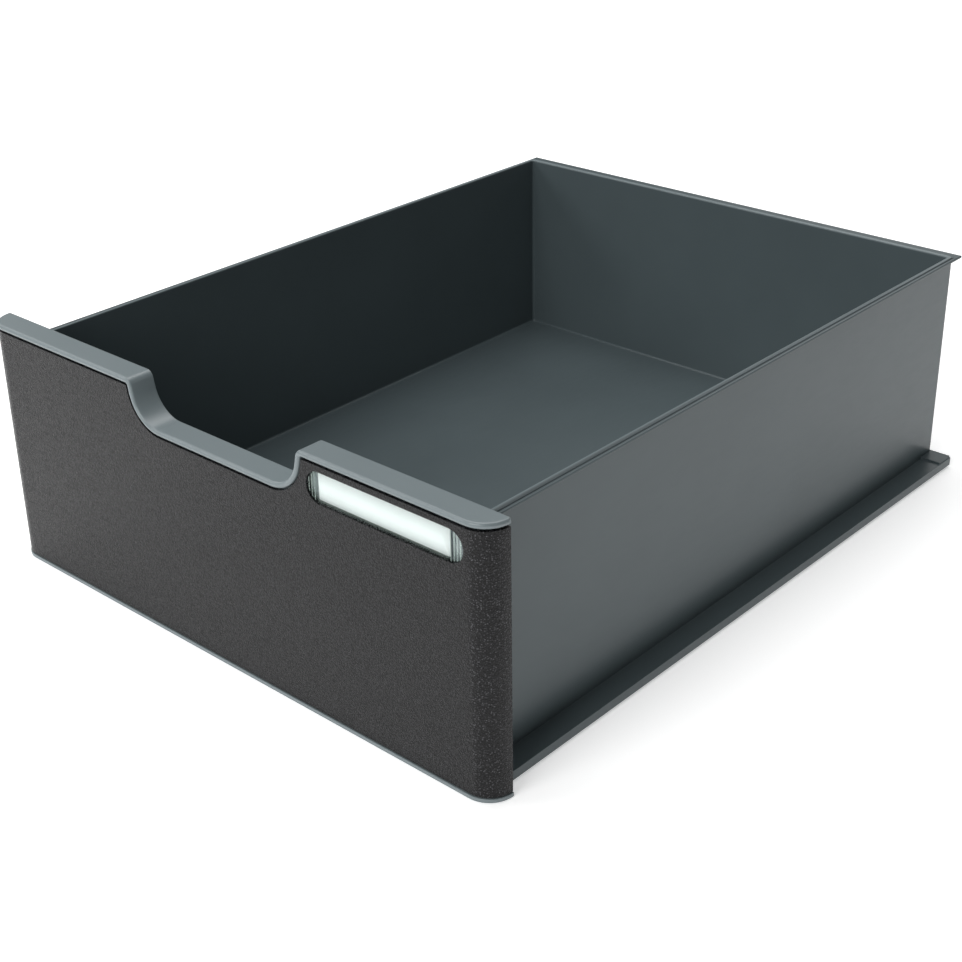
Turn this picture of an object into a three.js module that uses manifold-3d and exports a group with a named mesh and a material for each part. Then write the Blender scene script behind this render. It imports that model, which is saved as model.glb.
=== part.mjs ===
// Drawer of a desktop file box: a moulded tray with runner flanges, and a front made of a
// grey carrier, a black facing, a clear label window and a paper label.
// Millimetres, +Z up. X runs across the drawer, and the front faces -Y.
// The origin is on the standing surface, under the middle of the drawer.
import * as THREE from 'three';
import { mergeVertices } from 'three/addons/utils/BufferGeometryUtils.js';
import Module from 'manifold-3d';

const wasm = await Module();
wasm.setup();

// ---- driving dimensions ----
const drawerDepth = 342.5; // front face to the edge of the rear flange
const frontWidth = 280;
const frontHeight = 110.6; // underside of the carrier to the top of its cap
const frontDepth = 11.5;
const frontCornerRadius = 11;
const fitGap = 0.3; // between pieces that touch on the real drawer

// tray
const trayHalfWidth = 125;
const trayRearInset = 5; // rear flange edge to the outer face of the rear wall
const trayFrontSetback = 8.7; // front face to the outer face of the tray's own front wall
const wall = 2.2;
const rimTop = 104;
const floorTop = 10;
const floorThickness = 2;
const beadRise = 0.6; // the walls' top edge stands this much above the lip and the rear flange
const lipWidth = 1.4;
const lipDepth = 1.7; // rim top to the underside of the lip
const trayCornerRadius = 2.5;

// runner flanges along the foot of both sides
const runnerHalfWidth = 135;
const runnerBottom = 1;
const runnerThickness = 4;
const stopPadLength = 10;
const stopPadRise = 0.9;
const stopPadInset = 0.4; // from the runner's outer and rear edges

// carrier
const capThickness = 2.4;
const ledgeThickness = 1.6;
const plateThickness = 2.4;
const ribThickness = 1.6;
const ribSpacing = 40;
const ribCount = 7;

// facing
const facingInset = 0.3; // how far it lies behind the carrier's cap and ledge
const facingThickness = 1.8;
const shadowGap = 0.5; // open line between the facing and the cap

// finger notch in the top edge of the front
const notchLeft = -42; // where the slanted sides cross the notch's half height
const notchRight = 48;
const notchFloor = 93.2;
const notchSlant = THREE.MathUtils.degToRad(12);
const notchCornerRadius = 3.2;
const notchFilletRadius = 14;

// label window, a slot with round ends
const windowLeft = 54.3;
const windowRight = 128.6;
const windowBottom = 92.3;
const windowTop = 105.1;
const lensRecess = 0.4; // behind the facing's outer face
const paneThickness = 0.8; // in front of the card
const lensFlangeWidth = 2;
const lensFlangeThickness = 0.5;
const cardLeft = 59.2;
const cardRight = 121.4;
const cardBottom = 93.3;
const cardTop = 104.1;
const cardThickness = 0.3;

const clear = 5; // how far cutting tools reach past the piece that they cut
const overlap = 1; // how far joined blocks reach into each other

// ---- places worked out from them ----
const frontY = -drawerDepth / 2;
const rearY = drawerDepth / 2;
const trayRearY = rearY - trayRearInset;
const trayFrontY = frontY + trayFrontSetback;
const runnerTop = runnerBottom + runnerThickness;
const facingY = frontY + facingInset;
const facingBackY = facingY + facingThickness;
const plateY = facingBackY + fitGap;
const plateBackY = plateY + plateThickness;
const lensBackY = plateY + lensFlangeThickness;
const cardY = facingY + lensRecess + paneThickness + fitGap;
const padY = cardY + cardThickness + fitGap;
const pocketY = lensBackY + fitGap;

// ---- materials ----
const finish = (color, roughness, extra = {}) =>
  new THREE.MeshStandardMaterial({ color, roughness, metalness: 0, ...extra });
const trayGrey = finish(0x4a5254, 0.42);
const carrierGrey = finish(0x5d6668, 0.45);
const facingBlack = finish(0x2b2c2e, 0.55);
const clearPlastic = finish(0xdfeeea, 0.08, { transparent: true, opacity: 0.45 });
const paperWhite = finish(0xf4f8f6, 0.9);

// ---- solids ----
function solid(geometry) {
  geometry.deleteAttribute('normal');
  geometry.deleteAttribute('uv');
  const merged = mergeVertices(geometry, 1e-4);
  return new wasm.Manifold(new wasm.Mesh({
    numProp: 3,
    vertProperties: new Float32Array(merged.attributes.position.array),
    triVerts: new Uint32Array(merged.index.array),
  }));
}

function block(x0, x1, y0, y1, z0, z1) {
  const box = new THREE.BoxGeometry(x1 - x0, y1 - y0, z1 - z0);
  box.translate((x0 + x1) / 2, (y0 + y1) / 2, (z0 + z1) / 2);
  return solid(box);
}

// A shape drawn in plan (x, y), standing from z0 to z1.
function upright(shape, z0, z1, curveSegments = 8) {
  const geometry = new THREE.ExtrudeGeometry(shape, { depth: z1 - z0, bevelEnabled: false, curveSegments });
  geometry.translate(0, 0, z0);
  return solid(geometry);
}

// A shape drawn in elevation (x, z), reaching from y0 back to y1.
function through(shape, y0, y1, curveSegments = 8) {
  const geometry = new THREE.ExtrudeGeometry(shape, { depth: y1 - y0, bevelEnabled: false, curveSegments });
  geometry.rotateX(Math.PI / 2);
  geometry.translate(0, y1, 0);
  return solid(geometry);
}

function toMesh(name, body, material) {
  const { vertProperties, triVerts, numProp } = body.getMesh();
  const position = new Float32Array((vertProperties.length / numProp) * 3);
  for (let i = 0; i < position.length / 3; i += 1) {
    for (let axis = 0; axis < 3; axis += 1) position[3 * i + axis] = vertProperties[numProp * i + axis];
  }
  const geometry = new THREE.BufferGeometry();
  geometry.setAttribute('position', new THREE.BufferAttribute(position, 3));
  geometry.setIndex(new THREE.BufferAttribute(new Uint32Array(triVerts), 1));
  geometry.computeVertexNormals();
  const mesh = new THREE.Mesh(geometry, material);
  mesh.name = name;
  return mesh;
}

// ---- outlines ----
// Plan of the front: a bar with both front corners rounded, drawn inwards by inset.
// Its straight back edge is at backY.
function frontPlan(inset, backY) {
  const half = frontWidth / 2 - inset;
  const radius = frontCornerRadius - inset;
  const centreX = half - radius;
  const centreY = frontY + frontCornerRadius;
  const shape = new THREE.Shape();
  shape.moveTo(half, backY);
  shape.lineTo(-half, backY);
  shape.absarc(-centreX, centreY, radius, Math.PI, 1.5 * Math.PI, false);
  shape.absarc(centreX, centreY, radius, 1.5 * Math.PI, 2 * Math.PI, false);
  shape.closePath();
  return shape;
}

// Elevation of everything that lies below the front's top edge, notch included.
// The edge is followed at the distance drop, square to the edge.
function belowTopEdge(drop) {
  const middle = (frontHeight + notchFloor) / 2;
  const reach = frontWidth / 2 + clear;
  const cornerZ = frontHeight - notchCornerRadius;
  const filletZ = notchFloor + notchFilletRadius;
  const sideX = (x, side, z) => x + side * (z - middle) * Math.tan(notchSlant);
  const cornerX = (x, side) => sideX(x, side, cornerZ) + (side * notchCornerRadius) / Math.cos(notchSlant);
  const filletX = (x, side) => sideX(x, side, filletZ) - (side * notchFilletRadius) / Math.cos(notchSlant);
  const corner = notchCornerRadius - drop;
  const fillet = notchFilletRadius + drop;
  const quarter = Math.PI / 2;
  const shape = new THREE.Shape();
  shape.moveTo(-reach, -reach);
  shape.lineTo(-reach, frontHeight - drop);
  shape.absarc(cornerX(notchLeft, -1), cornerZ, corner, quarter, notchSlant, true);
  shape.absarc(filletX(notchLeft, -1), filletZ, fillet, 2 * quarter + notchSlant, 3 * quarter, false);
  shape.absarc(filletX(notchRight, 1), filletZ, fillet, 3 * quarter, 4 * quarter - notchSlant, false);
  shape.absarc(cornerX(notchRight, 1), cornerZ, corner, 2 * quarter - notchSlant, quarter, true);
  shape.lineTo(reach, frontHeight - drop);
  shape.lineTo(reach, -reach);
  shape.closePath();
  return shape;
}

// Elevation of the label window: a slot with round ends, drawn outwards by grow.
function windowSlot(grow) {
  const radius = (windowTop - windowBottom) / 2;
  const middle = (windowTop + windowBottom) / 2;
  const shape = new THREE.Shape();
  shape.absarc(windowRight - radius, middle, radius + grow, -Math.PI / 2, Math.PI / 2, false);
  shape.absarc(windowLeft + radius, middle, radius + grow, Math.PI / 2, 1.5 * Math.PI, false);
  shape.closePath();
  return shape;
}

function roundedRectangle(half, y0, y1, radius) {
  const shape = new THREE.Shape();
  shape.absarc(half - radius, y1 - radius, radius, 0, Math.PI / 2, false);
  shape.absarc(-half + radius, y1 - radius, radius, Math.PI / 2, Math.PI, false);
  shape.absarc(-half + radius, y0 + radius, radius, Math.PI, 1.5 * Math.PI, false);
  shape.absarc(half - radius, y0 + radius, radius, 1.5 * Math.PI, 2 * Math.PI, false);
  shape.closePath();
  return shape;
}

const underCap = (drop) => through(belowTopEdge(drop), frontY - clear, rearY + clear);
const cutterHalf = frontWidth / 2 + clear;

// ---- drawer tray: one moulding ----
function drawerTray() {
  const runnerFrontY = frontY + frontDepth + fitGap;
  const floorBottom = floorTop - floorThickness;
  const insideHalf = trayHalfWidth - wall;
  const midWallX = trayHalfWidth - wall / 2;
  const outside = roundedRectangle(trayHalfWidth, trayFrontY, trayRearY, trayCornerRadius);
  const midWall = roundedRectangle(
    midWallX, trayFrontY + wall / 2, trayRearY - wall / 2, trayCornerRadius * 0.75);
  const inside = roundedRectangle(insideHalf, trayFrontY + wall, trayRearY - wall, trayCornerRadius / 2);
  let tray = upright(outside, runnerBottom, frontHeight)
    .subtract(upright(inside, floorTop, frontHeight + clear))
    // The side walls reach down past the floor to the runners. The space below the floor is open
    // to the rear, and in front the walls clear the carrier's ledge.
    .subtract(block(-insideHalf, insideHalf, frontY, rearY, -clear, floorBottom))
    .subtract(block(-cutterHalf, cutterHalf, frontY, runnerFrontY, -clear, ledgeThickness + fitGap))
    // Behind the front wall the walls end at the rim. The front wall rises to just under the cap.
    .subtract(block(-cutterHalf, cutterHalf, trayFrontY + wall, rearY, rimTop, frontHeight + clear));

  // Rim: a narrow lip outside both side walls and a wide flange behind the rear wall.
  const rimHalf = trayHalfWidth + lipWidth;
  const rim = block(-rimHalf, rimHalf, runnerFrontY, rearY, rimTop - lipDepth, rimTop - beadRise)
    .subtract(upright(midWall, rimTop - lipDepth - clear, rimTop + clear));
  tray = tray.add(rim);

  for (const side of [-1, 1]) {
    const span = (near, far) => [Math.min(side * near, side * far), Math.max(side * near, side * far)];
    const padTop = runnerTop + stopPadRise;
    const padRearY = trayRearY - stopPadInset;
    tray = tray
      .add(block(...span(midWallX, runnerHalfWidth), runnerFrontY, trayRearY, runnerBottom, runnerTop))
      .add(block(...span(midWallX, runnerHalfWidth - stopPadInset),
        padRearY - stopPadLength, padRearY, runnerBottom + runnerThickness / 2, padTop));
  }
  const frontWallBackY = trayFrontY + wall + fitGap;
  const aboveFrontWall = block(-cutterHalf, cutterHalf, frontY, frontWallBackY, floorTop, frontHeight + clear)
    .subtract(underCap(capThickness + fitGap));
  return tray.subtract(aboveFrontWall);
}

// ---- carrier: cap along the top edge, plate behind the facing, ledge below it ----
function frontCarrier() {
  const backY = frontY + frontDepth;
  const full = upright(frontPlan(0, backY), 0, frontHeight);
  const cap = full.intersect(underCap(0)).subtract(underCap(capThickness));
  const ledge = upright(frontPlan(0, backY), 0, ledgeThickness);
  const plateInset = plateY - frontY;
  const behindPlate = frontPlan(plateInset + plateThickness, backY + clear);
  const plate = upright(frontPlan(plateInset, backY), 0, frontHeight)
    .subtract(upright(behindPlate, ledgeThickness, frontHeight + clear))
    .intersect(underCap(0));
  // The foot of the tray's front wall passes through the back of the ledge.
  const footHalf = trayHalfWidth + 3 * fitGap;
  const footTop = ledgeThickness + overlap;
  const foot = block(-footHalf, footHalf, trayFrontY - fitGap, backY + clear, -clear, footTop);
  let carrier = cap.add(plate).add(ledge).subtract(foot);

  // Stiffening ribs between the plate and the tray's front wall.
  for (let i = 0; i < ribCount; i += 1) {
    const x = (i - (ribCount - 1) / 2) * ribSpacing;
    const rib = block(x - ribThickness / 2, x + ribThickness / 2, plateBackY - overlap, trayFrontY - fitGap,
      ledgeThickness / 2, frontHeight);
    carrier = carrier.add(rib.intersect(underCap(capThickness / 2)));
  }
  const pocket = through(windowSlot(lensFlangeWidth + fitGap), frontY - clear, pocketY);
  // A pad in the pocket holds the card against the window.
  const pad = block(cardLeft, cardRight, padY, pocketY + overlap, cardBottom, cardTop);
  return carrier.subtract(pocket.intersect(underCap(capThickness))).add(pad);
}

// ---- black facing: wraps both rounded front corners ----
function blackFacing() {
  const backY = frontY + frontDepth - facingInset;
  const shell = upright(frontPlan(facingInset, backY), ledgeThickness + shadowGap, frontHeight)
    .subtract(upright(frontPlan(facingInset + facingThickness, backY + clear), 0, frontHeight + clear));
  return shell
    .intersect(underCap(capThickness + shadowGap))
    .subtract(through(windowSlot(0), frontY - clear, plateY));
}

// ---- clear window: fills the slot, with a flange behind the facing and a recess for the card ----
function labelWindow() {
  const pane = through(windowSlot(-fitGap), facingY + lensRecess, lensBackY, 12);
  const flange = through(windowSlot(lensFlangeWidth), plateY, lensBackY, 12);
  const recess = block(cardLeft - fitGap, cardRight + fitGap, cardY - fitGap, lensBackY + clear,
    cardBottom - fitGap, cardTop + fitGap);
  return pane.add(flange).subtract(recess);
}

// ---- paper label in the window's recess ----
function labelCard() {
  return block(cardLeft, cardRight, cardY, cardY + cardThickness, cardBottom, cardTop);
}

const drawer = new THREE.Group();
drawer.add(toMesh('drawer_tray', drawerTray(), trayGrey));
drawer.add(toMesh('front_carrier', frontCarrier(), carrierGrey));
drawer.add(toMesh('front_facing', blackFacing(), facingBlack));
drawer.add(toMesh('label_window', labelWindow(), clearPlastic));
drawer.add(toMesh('label_card', labelCard(), paperWhite));

export default drawer;
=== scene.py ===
import math

import bmesh
import bpy
from mathutils import Matrix, Vector


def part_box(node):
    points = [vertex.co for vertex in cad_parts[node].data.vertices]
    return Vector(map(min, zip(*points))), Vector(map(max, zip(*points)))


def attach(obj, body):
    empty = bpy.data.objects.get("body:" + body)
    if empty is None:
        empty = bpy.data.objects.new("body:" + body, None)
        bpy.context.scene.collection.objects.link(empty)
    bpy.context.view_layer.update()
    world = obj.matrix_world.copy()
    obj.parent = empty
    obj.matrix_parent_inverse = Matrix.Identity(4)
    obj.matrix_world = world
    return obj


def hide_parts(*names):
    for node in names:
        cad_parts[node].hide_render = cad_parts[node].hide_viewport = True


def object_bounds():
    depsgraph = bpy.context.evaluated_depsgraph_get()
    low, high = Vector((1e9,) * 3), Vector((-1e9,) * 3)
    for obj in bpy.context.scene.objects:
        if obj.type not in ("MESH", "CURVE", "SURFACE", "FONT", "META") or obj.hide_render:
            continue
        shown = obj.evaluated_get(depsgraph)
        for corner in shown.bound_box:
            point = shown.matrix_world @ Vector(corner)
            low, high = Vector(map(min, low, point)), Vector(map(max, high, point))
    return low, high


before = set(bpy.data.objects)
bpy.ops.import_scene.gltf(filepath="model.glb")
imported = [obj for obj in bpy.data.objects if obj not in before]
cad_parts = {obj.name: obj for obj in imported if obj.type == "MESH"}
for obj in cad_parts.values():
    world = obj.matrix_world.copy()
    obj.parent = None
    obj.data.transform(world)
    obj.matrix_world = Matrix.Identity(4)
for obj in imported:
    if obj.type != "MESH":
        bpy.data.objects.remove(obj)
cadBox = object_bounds()
low, high = cadBox
bpy.context.scene.view_settings.view_transform = "Standard"
print("frame loaded:", len(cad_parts), "nodes")

mm = 0.001  # sizes below are in millimetres times mm


def linearColour(hexCode):
    # sRGB hex such as "#4b5356" to the linear values that the shader sockets take
    channels = [int(hexCode[i:i + 2], 16) / 255 for i in (1, 3, 5)]
    linear = [c / 12.92 if c <= 0.04045 else ((c + 0.055) / 1.055) ** 2.4 for c in channels]
    return (*linear, 1.0)


def addNode(tree, kind, settings=None, links=None):
    # settings go to a socket of that name or number, or else to the node's own property
    node = tree.nodes.new(kind)
    for name, value in (settings or {}).items():
        if isinstance(name, int) or name in node.inputs:
            node.inputs[name].default_value = value
        else:
            setattr(node, name, value)
    for name, source in (links or {}).items():
        tree.links.new(source, node.inputs[name])
    return node


def newMaterial(name, principled):
    material = bpy.data.materials.new(name)
    material.use_nodes = True
    tree = material.node_tree
    tree.nodes.clear()
    shader = addNode(tree, "ShaderNodeBsdfPrincipled", principled)
    addNode(tree, "ShaderNodeOutputMaterial", links={"Surface": shader.outputs[0]})
    return material, tree, shader


def blendColour(tree, factor, first, second):
    # both colours are hex codes, but first may also be the output of another blend; a colour Mix
    # node takes them at its inputs 6 and 7 and gives the result at its output 2
    blend = addNode(tree, "ShaderNodeMix", {"data_type": "RGBA"}, {0: factor})
    if isinstance(first, str):
        blend.inputs[6].default_value = linearColour(first)
    else:
        tree.links.new(first, blend.inputs[6])
    blend.inputs[7].default_value = linearColour(second)
    return blend.outputs[2]


# The camera stands in front of the drawer's right-hand corner and looks down into it.
camera = {
    "place": (0.44696, -0.51511, 0.36818),
    "azimuth": 43.06,
    "elevation": 25.96,
    "roll": -1.40,
    "lens": 62.55,
    "shift": (0.0291, -0.0456),
}


def placeCamera():
    view = bpy.data.objects.new("camera", bpy.data.cameras.new("camera"))
    bpy.context.collection.objects.link(view)
    turn = Matrix.Rotation(math.radians(camera["azimuth"]), 4, "Z")
    tilt = Matrix.Rotation(math.radians(90 - camera["elevation"]), 4, "X")
    roll = Matrix.Rotation(math.radians(camera["roll"]), 4, "Z")
    view.matrix_world = Matrix.Translation(camera["place"]) @ turn @ tilt @ roll
    view.data.lens = camera["lens"]
    view.data.sensor_width = 36
    view.data.shift_x, view.data.shift_y = camera["shift"]
    view.data.clip_end = 20
    bpy.context.scene.camera = view


# A plain white table that glows a little, so that no hard shadow falls on it. The room behind it
# is pale to the camera only, so that it adds little light.
stage = {
    "floorSize": 40.0, "gap": 0.2 * mm,  # the floor lies this far below the drawer
    "white": "#f2f2f2", "glow": 0.46,
    "roomLight": 0.08, "roomSeen": 0.95,
}
lights = {
    # name: (place, side, watts); each one is aimed at the middle of the floor
    "topSoftbox": ((-0.30, 0.1, 1.45), 1.2, 14.0),
    "topRearSoftbox": ((-0.3, 1.5, 1.3), 1.2, 7.0),
    "leftSoftbox": ((-1.5, 0.0, 0.9), 1.2, 6.8),
    "frontLeftSoftbox": ((-1.1, -1.2, 0.9), 0.6, 6.0),
    "frontSoftbox": ((0.15, -1.6, 0.95), 1.0, 16.0),
    "rearRightStrip": ((1.2, 1.2, 0.55), 0.30, 0.35),
}


def makeFloorPaper():
    paper = newMaterial("studioPaper", {
        "Base Color": linearColour(stage["white"]), "Roughness": 0.9, "Specular IOR Level": 0.2,
        "Emission Color": linearColour("#ffffff"), "Emission Strength": stage["glow"],
    })[0]
    return paper


def makeStage():
    bm = bmesh.new()
    bmesh.ops.create_grid(bm, x_segments=1, y_segments=1, size=stage["floorSize"] / 2)
    mesh = bpy.data.meshes.new("floor")
    bm.to_mesh(mesh)
    bm.free()
    floor = bpy.data.objects.new("floor", mesh)
    bpy.context.collection.objects.link(floor)
    floor.location.z = low.z - stage["gap"]
    mesh.materials.append(makeFloorPaper())

    world = bpy.data.worlds.new("studio")
    world.use_nodes = True
    room = world.node_tree.nodes["Background"]
    room.inputs["Color"].default_value = linearColour("#ffffff")
    seen = addNode(world.node_tree, "ShaderNodeLightPath").outputs["Is Camera Ray"]
    strength = addNode(world.node_tree, "ShaderNodeMapRange",
                       {"To Min": stage["roomLight"], "To Max": stage["roomSeen"]}, {"Value": seen})
    world.node_tree.links.new(strength.outputs[0], room.inputs["Strength"])
    bpy.context.scene.world = world

    for name, (place, side, watts) in lights.items():
        lamp = bpy.data.lights.new(name, "AREA")
        lamp.size = side
        lamp.energy = watts
        holder = bpy.data.objects.new(name, lamp)
        bpy.context.collection.objects.link(holder)
        holder.location = place
        holder.rotation_euler = (-Vector(place)).to_track_quat("-Z", "Y").to_euler()


placeCamera()
makeStage()
print("camera, table and lights ready")


def grainBump(tree, place, size, depth, strength, detail=2.0, under=None):
    # a noise bump; under is the normal of a coarser bump that it rides on
    noise = addNode(tree, "ShaderNodeTexNoise", {"Scale": 1 / size, "Detail": detail, "Roughness": 0.6},
                    {"Vector": place})
    links = {"Height": noise.outputs["Fac"]}
    if under:
        links["Normal"] = under
    bump = addNode(tree, "ShaderNodeBump", {"Strength": strength, "Distance": depth}, links)
    return bump.outputs[0]


def mouldedPolystyrene(name, look):
    # High-impact polystyrene, moulded against lightly spark-eroded steel: a satin sheen broken by
    # a fine even grain, a slow drift in tone, faint rubbing marks from paper and fingers, and a
    # top edge painted paler, partly for handling wear and partly as a painted highlight on the bead.
    material, tree, shader = newMaterial(name, {"IOR": 1.59, "Specular IOR Level": look["specular"]})
    place = addNode(tree, "ShaderNodeTexCoord").outputs["Object"]
    drift = addNode(tree, "ShaderNodeTexNoise",
                    {"Scale": 1 / look["driftSize"], "Detail": 3.0, "Roughness": 0.6}, {"Vector": place})
    plain = blendColour(tree, drift.outputs["Fac"], look["dark"], look["light"])
    # the top of the rim's bead is painted paler: partly handling wear, partly a painted highlight on the
    # bead
    height = addNode(tree, "ShaderNodeSeparateXYZ", links={"Vector": place}).outputs["Z"]
    wearAndHighlight = addNode(tree, "ShaderNodeMapRange",
                   {"From Min": look["wearAndHighlightFrom"], "From Max": look["wearAndHighlightTo"], "To Max": look["wearAndHighlight"]},
                   {"Value": height})
    wornAndHighlit = blendColour(tree, wearAndHighlight.outputs[0], plain, look["rubbedAndHighlit"])
    tree.links.new(wornAndHighlit, shader.inputs["Base Color"])

    stretched = addNode(tree, "ShaderNodeMapping", {"Scale": look["rubStretch"]}, {"Vector": place})
    rubbing = addNode(tree, "ShaderNodeTexNoise",
                      {"Scale": 1 / look["rubSize"], "Detail": 6.0, "Roughness": 0.7},
                      {"Vector": stretched.outputs[0]})
    gloss = addNode(tree, "ShaderNodeMapRange", {
        "From Min": 0.3, "From Max": 0.75,
        "To Min": look["roughness"] - look["rubDepth"], "To Max": look["roughness"] + look["rubDepth"],
    }, {"Value": rubbing.outputs["Fac"]})
    tree.links.new(gloss.outputs[0], shader.inputs["Roughness"])

    sag = grainBump(tree, place, look["sagSize"], look["sagDepth"], strength=1.0, detail=1.0)
    grain = grainBump(tree, place, look["grainSize"], look["grainDepth"], look["grainStrength"], under=sag)
    tree.links.new(grain, shader.inputs["Normal"])
    return material


trayLook = {
    "dark": "#4c5659", "light": "#545f62", "roughness": 0.34, "specular": 0.26,
    # the pale colour on the bead's top is partly wear and partly a painted highlight
    "rubbedAndHighlit": "#828d90", "wearAndHighlight": 0.55, "wearAndHighlightFrom": 103.5 * mm, "wearAndHighlightTo": 103.9 * mm,
    "driftSize": 60 * mm,
    "rubSize": 3.0 * mm, "rubStretch": (1.0, 0.25, 1.0), "rubDepth": 0.05,
    "grainSize": 0.45 * mm, "grainDepth": 0.03 * mm, "grainStrength": 0.35,
    "sagSize": 45 * mm, "sagDepth": 0.10 * mm,
}
# the same plastic as the tray, its colour painted paler: a lit copy that stands in for the light on the
# cap's top
carrierLook = {
    **trayLook, "dark": "#6d787b", "light": "#737d80", "roughness": 0.32, "specular": 0.5, "wearAndHighlight": 0.0,
    "rubStretch": (1.0, 1.0, 1.0), "rubSize": 14 * mm, "rubDepth": 0.01,
    "grainDepth": 0.01 * mm, "grainStrength": 0.15, "sagSize": 30 * mm, "sagDepth": 0.02 * mm,
}


def texturedAbs(name, look):
    # Black ABS moulded against coarse spark-eroded steel: rounded peaks and pits, and here and
    # there a smoother peak that sparkles, with a pale spot painted on it as its glint.
    material, tree, shader = newMaterial(name, {"IOR": 1.54, "Specular IOR Level": look["specular"]})
    place = addNode(tree, "ShaderNodeTexCoord").outputs["Object"]
    grit = addNode(tree, "ShaderNodeTexNoise",
                   {"Scale": 1 / look["gritSize"], "Detail": 3.0, "Roughness": 0.65}, {"Vector": place})
    peaks = addNode(tree, "ShaderNodeTexVoronoi", {"Scale": 1 / look["peakSize"]}, {"Vector": place})
    height = addNode(tree, "ShaderNodeMath", {"operation": "SUBTRACT"},
                     {0: grit.outputs["Fac"], 1: peaks.outputs["Distance"]})
    # the pale spots painted on some peaks stand in for their glints
    polished = addNode(tree, "ShaderNodeMath", {"operation": "MULTIPLY"}, {
        0: addNode(tree, "ShaderNodeMapRange", {"From Min": look["peakRadius"], "From Max": 0.0},
                   {"Value": peaks.outputs["Distance"]}).outputs[0],
        1: addNode(tree, "ShaderNodeMapRange", {"From Min": look["plainPeaks"], "From Max": 1.0},
                   {"Value": peaks.outputs["Color"]}).outputs[0],
    })
    bump = addNode(tree, "ShaderNodeBump",
                   {"Strength": look["gritStrength"], "Distance": look["gritDepth"]},
                   {"Height": height.outputs[0]})
    tree.links.new(bump.outputs[0], shader.inputs["Normal"])
    ground = blendColour(tree, grit.outputs["Fac"], look["dark"], look["light"])
    speckledWithGlints = blendColour(tree, polished.outputs[0], ground, look["paintedGlint"])
    tree.links.new(speckledWithGlints, shader.inputs["Base Color"])
    gloss = addNode(tree, "ShaderNodeMapRange", {
        "To Min": look["roughness"] - look["sparkle"], "To Max": look["roughness"] + look["sparkle"],
    }, {"Value": peaks.outputs["Color"]})
    tree.links.new(gloss.outputs[0], shader.inputs["Roughness"])
    return material


facingLook = {
    # the pale colour painted on some peaks stands in for their glints
    "dark": "#030304", "light": "#141416", "paintedGlint": "#7c7c80",
    "roughness": 0.34, "sparkle": 0.18, "specular": 0.20,
    "gritSize": 0.42 * mm, "peakSize": 0.62 * mm, "gritStrength": 1.0, "gritDepth": 0.16 * mm,
    "peakRadius": 0.50, "plainPeaks": 0.30,  # parts of the spacing, and of all the peaks
}


def clearPolystyrene(name, look):
    # Clear polystyrene, polished mould: most light passes straight through. The rest is a faint
    # green-white haze and wiping marks in the gloss. On the ridges beyond the card the haze is painted
    # thicker at each crest, a painted highlight for the light that the ridges refract.
    material, tree, shader = newMaterial(name, {"Base Color": linearColour(look["hazeAndRidgeHighlight"]), "IOR": 1.59})
    place = addNode(tree, "ShaderNodeTexCoord").outputs["Object"]
    across = addNode(tree, "ShaderNodeSeparateXYZ", links={"Vector": place}).outputs["X"]
    ridges = addNode(tree, "ShaderNodeMath",
                     {"operation": "PINGPONG", 1: look["ridgePitch"] / 2}, {0: across})
    overCard = addNode(tree, "ShaderNodeMath", {
        "operation": "COMPARE", 1: look["cardMiddle"], 2: look["cardHalf"],
    }, {0: across})
    # on the ridges the pane is painted paler at each crest: a painted highlight for the light the ridges
    # refract
    hazeAndRidgeHighlight = addNode(tree, "ShaderNodeMapRange", {
        "From Min": look["ridgePitch"] * look["ridgeFoot"],
        "From Max": look["ridgePitch"] * look["ridgeCrest"],
        "To Min": look["endBody"], "To Max": look["ridgeHighlight"],
    }, {"Value": ridges.outputs[0]})
    # a plain Mix node blends its inputs 2 and 3, here the ridges and the pane over the card
    body = addNode(tree, "ShaderNodeMix", {3: look["body"]}, {0: overCard.outputs[0], 2: hazeAndRidgeHighlight.outputs[0]})
    tree.links.new(body.outputs[0], shader.inputs["Alpha"])
    wipes = addNode(tree, "ShaderNodeTexNoise", {"Scale": 1 / look["wipeSize"], "Detail": 4.0},
                    {"Vector": place})
    gloss = addNode(tree, "ShaderNodeMapRange",
                    {"To Min": look["polished"], "To Max": look["wiped"]}, {"Value": wipes.outputs["Fac"]})
    tree.links.new(gloss.outputs[0], shader.inputs["Roughness"])
    return material


def uncoatedCard(name, look):
    # Uncoated white card: matt, with a faint cloud of fibres and a paper tooth.
    material, tree, shader = newMaterial(name, {"Roughness": 0.85, "Specular IOR Level": 0.3})
    place = addNode(tree, "ShaderNodeTexCoord").outputs["Object"]
    fibres = addNode(tree, "ShaderNodeTexNoise", {"Scale": 1 / look["fibreSize"], "Detail": 5.0},
                     {"Vector": place})
    tree.links.new(blendColour(tree, fibres.outputs["Fac"], look["shade"], look["white"]),
                   shader.inputs["Base Color"])
    tooth = grainBump(tree, place, look["toothSize"], look["toothDepth"], strength=0.3)
    tree.links.new(tooth, shader.inputs["Normal"])
    return material


trayPlastic = mouldedPolystyrene("mouldedPolystyreneDarkGrey", trayLook)
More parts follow.
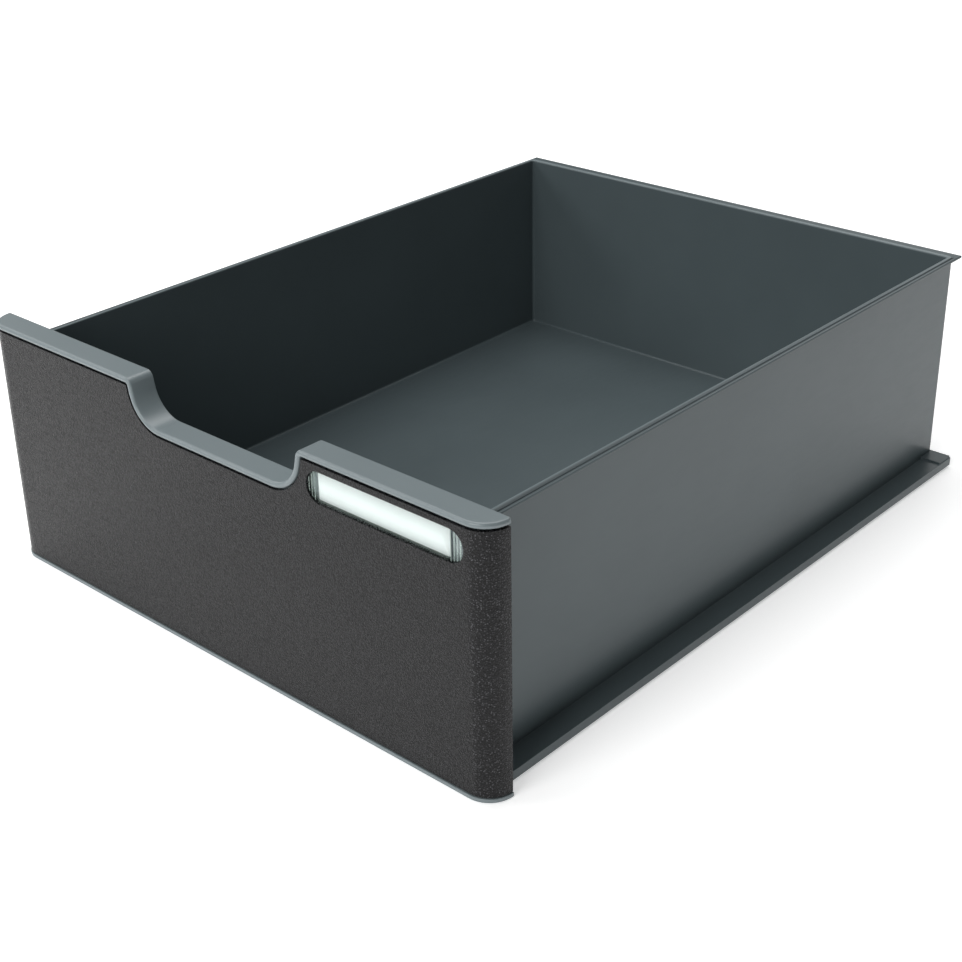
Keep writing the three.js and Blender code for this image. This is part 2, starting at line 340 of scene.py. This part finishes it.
# a paler, painted lit copy of the tray's plastic
carrierPlastic = mouldedPolystyrene("mouldedPolystyrenePaintedLitCopy", carrierLook)
facingPlastic = texturedAbs("sparkErodedAbsBlack", facingLook)
cardLow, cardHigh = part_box("label_card")
ridgePitch = 1.4 * mm
windowPlastic = clearPolystyrene("polishedPolystyreneClear", {
    # the haze colour also paints the highlight on the ridges
    "hazeAndRidgeHighlight": "#d9efe5", "body": 0.05, "endBody": 0.0, "ridgeHighlight": 0.36,
    "polished": 0.01, "wiped": 0.05, "wipeSize": 12 * mm,
    "ridgePitch": ridgePitch, "ridgeFoot": 0.30, "ridgeCrest": 0.42,  # parts of the pitch
    "cardMiddle": (cardLow.x + cardHigh.x) / 2, "cardHalf": (cardHigh.x - cardLow.x) / 2,
})
cardStock = uncoatedCard("uncoatedCardWhite", {
    "white": "#e9f1f0", "shade": "#e3ebea", "fibreSize": 1.2 * mm, "toothSize": 0.4 * mm,
    "toothDepth": 0.01 * mm,
})
print("materials ready")


def showPiece(bm, name, material, node):
    mesh = bpy.data.meshes.new(name)
    bm.to_mesh(mesh)
    bm.free()
    mesh.materials.append(material)
    piece = bpy.data.objects.new(name, mesh)
    bpy.context.collection.objects.link(piece)
    for polygon in mesh.polygons:
        polygon.material_index = 0
        polygon.use_smooth = True
    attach(piece, "root")
    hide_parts(node)
    return piece


def flatShading(piece):
    # large faces keep their own normal, so that only the rounded edges shade as curves
    weighted = piece.modifiers.new("flats", "WEIGHTED_NORMAL")
    weighted.mode = "FACE_AREA"
    weighted.weight = 100
    weighted.keep_sharp = True


flatAngle = math.radians(0.5)  # faces that meet at less are one flat face
sharpAngle = math.radians(28)  # edges that turn by more are rounded


def mouldedCopy(node, edgeRadius, radii):
    # A merged copy of the solid, whose sharp edges get the radius that edgeRadius names. The
    # Bevel modifier takes each radius as a weight on the largest one, which is given back too.
    bm = bmesh.new()
    bm.from_mesh(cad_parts[node].data)
    bmesh.ops.remove_doubles(bm, verts=bm.verts, dist=0.002 * mm)
    bmesh.ops.dissolve_limit(bm, angle_limit=flatAngle, verts=bm.verts, edges=bm.edges)
    largest = max(radii.values())
    weights = bm.edges.layers.float.new("bevel_weight_edge")
    for edge in bm.edges:
        if edge.calc_face_angle(0) > sharpAngle:
            edge[weights] = radii[edgeRadius(edge)] / largest
    return bm, largest


def roundEdges(piece, radius, segments, byWeight):
    # radii given edge by edge are kept as they are; one radius for every edge shrinks to fit
    bevel = piece.modifiers.new("edges", "BEVEL")
    bevel.limit_method = "WEIGHT" if byWeight else "ANGLE"
    bevel.angle_limit = math.radians(40)
    bevel.width = radius
    bevel.segments = segments
    bevel.use_clamp_overlap = not byWeight


trayLow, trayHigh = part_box("drawer_tray")
tray = {
    "wall": 2.2 * mm, "runnerReach": 10 * mm, "flangeReach": 5 * mm,
    "rimTop": 104 * mm, "beadRise": 0.6 * mm, "floorTop": 10 * mm,
    "radii": {"beadInside": 0.9 * mm, "beadOutside": 0.5 * mm, "flange": 0.45 * mm, "floor": 1.1 * mm,
              "corner": 0.15 * mm, "sharp": 0.0},
    "frontEnd": 4 * mm, "frontEndDrop": 3 * mm,  # the rim's front end, mostly under the cap, stays sharp
    "beside": 0.3 * mm, "level": 0.05 * mm,  # how near an edge counts as being at a wall or a height
    "segments": 3,
}


def trayEdge(edge):
    middle = (edge.verts[0].co + edge.verts[1].co) / 2
    wallInside = trayHigh.x - tray["runnerReach"] - tray["wall"]
    rearInside = trayHigh.y - tray["flangeReach"] - tray["wall"]
    near, level = tray["beside"], tray["level"]
    if middle.y < trayLow.y + tray["frontEnd"] and middle.z > tray["rimTop"] - tray["frontEndDrop"]:
        return "sharp"
    onInside = abs(middle.x) < wallInside + near and middle.y < rearInside + near
    if abs(middle.z - tray["rimTop"]) < level:
        return "beadInside" if onInside else "beadOutside"
    if abs(middle.z - tray["rimTop"] + tray["beadRise"]) < level:
        besideWall = abs(middle.x) > wallInside + tray["wall"] + near
        return "flange" if besideWall or middle.y > rearInside else "corner"
    if onInside and abs(middle.z - tray["floorTop"]) < level:
        return "floor"
    return "corner"


def makeTray():
    bm, radius = mouldedCopy("drawer_tray", trayEdge, tray["radii"])
    piece = showPiece(bm, "drawerTray", trayPlastic, "drawer_tray")
    roundEdges(piece, radius, tray["segments"], byWeight=True)
    flatShading(piece)


front = {
    "capThickness": 2.4 * mm,
    "extraGap": 0.25 * mm,  # between the cap and the facing, for the facing's rounded edge
    "cornerRadius": 11 * mm,
    "notchLeft": -42 * mm, "notchRight": 48 * mm,  # where the slanted sides cross the middle height
    "notchFloor": 93.2 * mm, "notchSlant": math.radians(12),
    "notchCorner": 3.2 * mm, "notchFillet": 14 * mm, "cornerSteps": 4, "filletSteps": 18,
}
carrier = {
    "radii": {"capNose": 1.15 * mm, "capBack": 0.3 * mm, "corner": 0.2 * mm},
    "segments": 5,
}


def onFrontOutline(face):
    # true for a face on the front's outermost surface, rounded corners included
    centre = face.calc_center_median()
    radius = front["cornerRadius"]
    past = abs(centre.x) - (high.x - radius)
    if past < 0:
        return centre.y < low.y + 0.1 * mm
    return math.hypot(past, max(0.0, low.y + radius - centre.y)) > radius - 0.2 * mm


def capEdge(edge):
    middle = (edge.verts[0].co + edge.verts[1].co) / 2
    if middle.z < front["notchFloor"] - front["capThickness"] - 0.1 * mm:
        return "corner"
    return "capNose" if any(onFrontOutline(face) for face in edge.link_faces) else "capBack"


def makeCarrier():
    bm, radius = mouldedCopy("front_carrier", capEdge, carrier["radii"])
    piece = showPiece(bm, "frontCarrier", carrierPlastic, "front_carrier")
    roundEdges(piece, radius, carrier["segments"], byWeight=True)
    flatShading(piece)


facing = {
    "thickness": 1.8 * mm,
    "cornerRadius": 10.7 * mm, "cornerSteps": 20,
    "edgeRadius": 0.35 * mm, "edgeSegments": 3, "windowSteps": 12,
    "window": (54.3 * mm, 128.6 * mm, 92.3 * mm, 105.1 * mm),  # left, right, bottom, top
}


def outlinedFace(bm, points, y):
    # a face that stands upright at depth y, outlined by points (x, z)
    verts = [bm.verts.new((x, y, z)) for x, z in points]
    return bm.faces.new(verts)


def roundVertex(bm, vert, radius, turn, segments):
    # turn is the angle through which the outline turns at the vertex
    bmesh.ops.bevel(bm, geom=[vert], offset=radius * math.tan(turn / 2), offset_type="OFFSET",
                    segments=segments, profile=0.5, affect="VERTICES", material=-1)


def vertexNear(bm, x, z):
    return min(bm.verts, key=lambda vert: (vert.co.x - x) ** 2 + (vert.co.z - z) ** 2)


def notchedOutline(bm, half, bottom, top, y):
    # the front's outline, sunk below the cap by the same distance all along its top edge
    drop = high.z - top
    floor = front["notchFloor"] - drop
    middle = (high.z + front["notchFloor"]) / 2
    slant = math.tan(front["notchSlant"])
    shift = drop / math.cos(front["notchSlant"])

    def leftX(z):
        return front["notchLeft"] - shift - (z - middle) * slant

    def rightX(z):
        return front["notchRight"] + shift + (z - middle) * slant

    corners = [(leftX(top), top), (leftX(floor), floor), (rightX(floor), floor), (rightX(top), top)]
    outline = [(-half, bottom), (-half, top), *corners, (half, top), (half, bottom)]
    outlinedFace(bm, outline, y)
    turn = math.pi / 2 - front["notchSlant"]
    for x, z in corners:
        atFloor = z < middle
        radius = front["notchFillet"] + drop if atFloor else front["notchCorner"] - drop
        steps = front["filletSteps"] if atFloor else front["cornerSteps"]
        roundVertex(bm, vertexNear(bm, x, z), radius, turn, steps)


def slotOutline(bm, left, right, bottom, top, y, segments):
    # a slot with round ends, from a rectangle whose four corners are rounded away
    corners = [(left, bottom), (left, top), (right, top), (right, bottom)]
    known = set(bm.verts)
    outlinedFace(bm, corners, y)
    reach = (top - bottom) / 2 * 0.9999  # just under half, so that the two rounds never meet
    for x, z in corners:
        fresh = [vert for vert in bm.verts if vert not in known]
        corner = min(fresh, key=lambda vert: (vert.co.x - x) ** 2 + (vert.co.z - z) ** 2)
        roundVertex(bm, corner, reach, math.pi / 2, segments)


def wrapCorners(bm, flatHalf, radius, frontY):
    # bends both ends of a flat sheet back round the front's rounded corners
    for vert in bm.verts:
        past = abs(vert.co.x) - flatHalf
        if past > 0:
            turn = min(past / radius, math.pi / 2)
            vert.co.x = math.copysign(flatHalf + radius * math.sin(turn), vert.co.x)
            vert.co.y = frontY + radius * (1 - math.cos(turn)) + past - radius * turn


def makeFacing():
    facingLow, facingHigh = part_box("front_facing")
    radius = facing["cornerRadius"]
    flatHalf = facingHigh.x - radius
    arc = radius * math.pi / 2
    straight = facingHigh.y - facingLow.y - radius
    bm = bmesh.new()
    top = facingHigh.z - front["extraGap"]
    notchedOutline(bm, flatHalf + arc + straight, facingLow.z, top, facingLow.y)
    slotOutline(bm, *facing["window"], facingLow.y, facing["windowSteps"])
    bmesh.ops.delete(bm, geom=bm.faces[:], context="FACES_ONLY")
    bmesh.ops.triangle_fill(bm, use_beauty=True, edges=bm.edges[:], normal=(0, -1, 0))
    for step in range(facing["cornerSteps"] + 1):
        for side in (-1, 1):
            x = side * (flatHalf + arc * step / facing["cornerSteps"])
            bmesh.ops.bisect_plane(bm, geom=bm.verts[:] + bm.edges[:] + bm.faces[:],
                                   plane_co=(x, 0, 0), plane_no=(1, 0, 0))
    bmesh.ops.remove_doubles(bm, verts=bm.verts, dist=0.005 * mm)
    wrapCorners(bm, flatHalf, radius, facingLow.y)
    bmesh.ops.dissolve_limit(bm, angle_limit=flatAngle, verts=bm.verts, edges=bm.edges)
    bmesh.ops.recalc_face_normals(bm, faces=bm.faces)
    if sum(face.normal.y * face.calc_area() for face in bm.faces) > 0:
        bmesh.ops.reverse_faces(bm, faces=bm.faces)
    piece = showPiece(bm, "frontFacing", facingPlastic, "front_facing")
    wall = piece.modifiers.new("wall", "SOLIDIFY")
    wall.thickness = facing["thickness"]
    wall.offset = -1
    wall.use_even_offset = True
    roundEdges(piece, facing["edgeRadius"], facing["edgeSegments"], byWeight=False)
    flatShading(piece)


window = {
    "fit": 0.3 * mm,  # between the pane and the facing's cut-out
    "recess": 0.6 * mm,  # behind the facing's outer face
    "flangeWidth": 2.0 * mm, "flangeThickness": 0.5 * mm,
    "ridgeDepth": 0.15 * mm, "endSteps": 14,
}


def cutAcross(bm, x):
    # cuts the mesh at x and gives the new points
    cut = bmesh.ops.bisect_plane(bm, geom=bm.verts[:] + bm.edges[:] + bm.faces[:],
                                 plane_co=(x, 0, 0), plane_no=(1, 0, 0))
    return [part for part in cut["geom_cut"] if isinstance(part, bmesh.types.BMVert)]


def pullRim(bm, rim, move):
    # extrudes an open rim, moves its new points and gives the new rim
    side = bmesh.ops.extrude_edge_only(bm, edges=rim)["geom"]
    for vert in [part for part in side if isinstance(part, bmesh.types.BMVert)]:
        vert.co = move(vert.co)
    return [part for part in side if isinstance(part, bmesh.types.BMEdge)]


def makeWindow():
    # a pane with fine upright ridges beyond both ends of the card, side walls that reach back to a
    # flange behind the facing, and a recess at the back that holds the card
    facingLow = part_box("front_facing")[0]
    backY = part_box("label_window")[1].y
    left, right, bottom, top = facing["window"]
    fit = window["fit"]
    flangeY = backY - window["flangeThickness"]
    bm = bmesh.new()
    slotOutline(bm, left + fit, right - fit, bottom + fit, top - fit,
                facingLow.y + window["recess"], window["endSteps"])
    for start, end in ((left + fit, cardLow.x - fit), (cardHigh.x + fit, right - fit)):
        steps = round((end - start) / ridgePitch) * 2
        for step in range(1, steps + 1):
            line = cutAcross(bm, start + (end - start) * step / steps)
            if step % 2:
                bmesh.ops.translate(bm, verts=line, vec=(0, window["ridgeDepth"], 0))

    centreX, centreZ = (left + right) / 2, (bottom + top) / 2
    halfFlat = (right - left - (top - bottom)) / 2

    def grown(place):
        along = max(-halfFlat, min(halfFlat, place.x - centreX))
        centre = Vector((centreX + along, flangeY, centreZ))
        outward = (place - centre).normalized()
        return place + outward * (window["flangeWidth"] + fit)

    rim = pullRim(bm, [edge for edge in bm.edges if edge.is_boundary],
                  lambda place: Vector((place.x, flangeY, place.z)))
    rim = pullRim(bm, rim, grown)
    rim = pullRim(bm, rim, lambda place: Vector((place.x, backY, place.z)))
    corners = [(cardLow.x - fit, cardLow.z - fit), (cardLow.x - fit, cardHigh.z + fit),
               (cardHigh.x + fit, cardHigh.z + fit), (cardHigh.x + fit, cardLow.z - fit)]
    mouth = outlinedFace(bm, corners, backY)
    mouthEdges = mouth.edges[:]
    bmesh.ops.delete(bm, geom=[mouth], context="FACES_ONLY")
    bmesh.ops.triangle_fill(bm, use_beauty=True, edges=rim + mouthEdges, normal=(0, 1, 0))
    mouthEdges = [edge for edge in bm.edges if edge.is_boundary]
    floor = pullRim(bm, mouthEdges, lambda place: Vector((place.x, cardLow.y - fit, place.z)))
    bmesh.ops.contextual_create(bm, geom=floor)
    bmesh.ops.recalc_face_normals(bm, faces=bm.faces)
    piece = showPiece(bm, "labelWindow", windowPlastic, "label_window")
    flatShading(piece)


card = {"cornerRadius": 0.5 * mm, "cornerSteps": 5, "bow": 0.10 * mm, "bowSteps": 12}


def makeCard():
    # a cut strip with slightly rounded corners, bowed a little towards the window
    thickness = cardHigh.y - cardLow.y - card["bow"]
    middle = (cardLow.x + cardHigh.x) / 2
    half = (cardHigh.x - cardLow.x) / 2
    corners = [(cardLow.x, cardLow.z), (cardLow.x, cardHigh.z),
               (cardHigh.x, cardHigh.z), (cardHigh.x, cardLow.z)]
    bm = bmesh.new()
    outlinedFace(bm, corners, cardHigh.y - thickness)
    for x, z in corners:
        roundVertex(bm, vertexNear(bm, x, z), card["cornerRadius"], math.pi / 2, card["cornerSteps"])
    for step in range(1, card["bowSteps"]):
        x = cardLow.x + 2 * half * step / card["bowSteps"]
        bmesh.ops.bisect_plane(bm, geom=bm.verts[:] + bm.edges[:] + bm.faces[:],
                               plane_co=(x, 0, 0), plane_no=(1, 0, 0))
    for vert in bm.verts:
        vert.co.y -= card["bow"] * (1 - ((vert.co.x - middle) / half) ** 2)
    bmesh.ops.recalc_face_normals(bm, faces=bm.faces)
    if sum(face.normal.y for face in bm.faces) > 0:
        bmesh.ops.reverse_faces(bm, faces=bm.faces)
    piece = showPiece(bm, "labelCard", cardStock, "label_card")
    sheet = piece.modifiers.new("thickness", "SOLIDIFY")
    sheet.thickness = thickness
    sheet.offset = -1


makeTray()
print("tray ready")
makeCarrier()
makeFacing()
print("front ready")
makeWindow()
makeCard()
print("window and label ready")
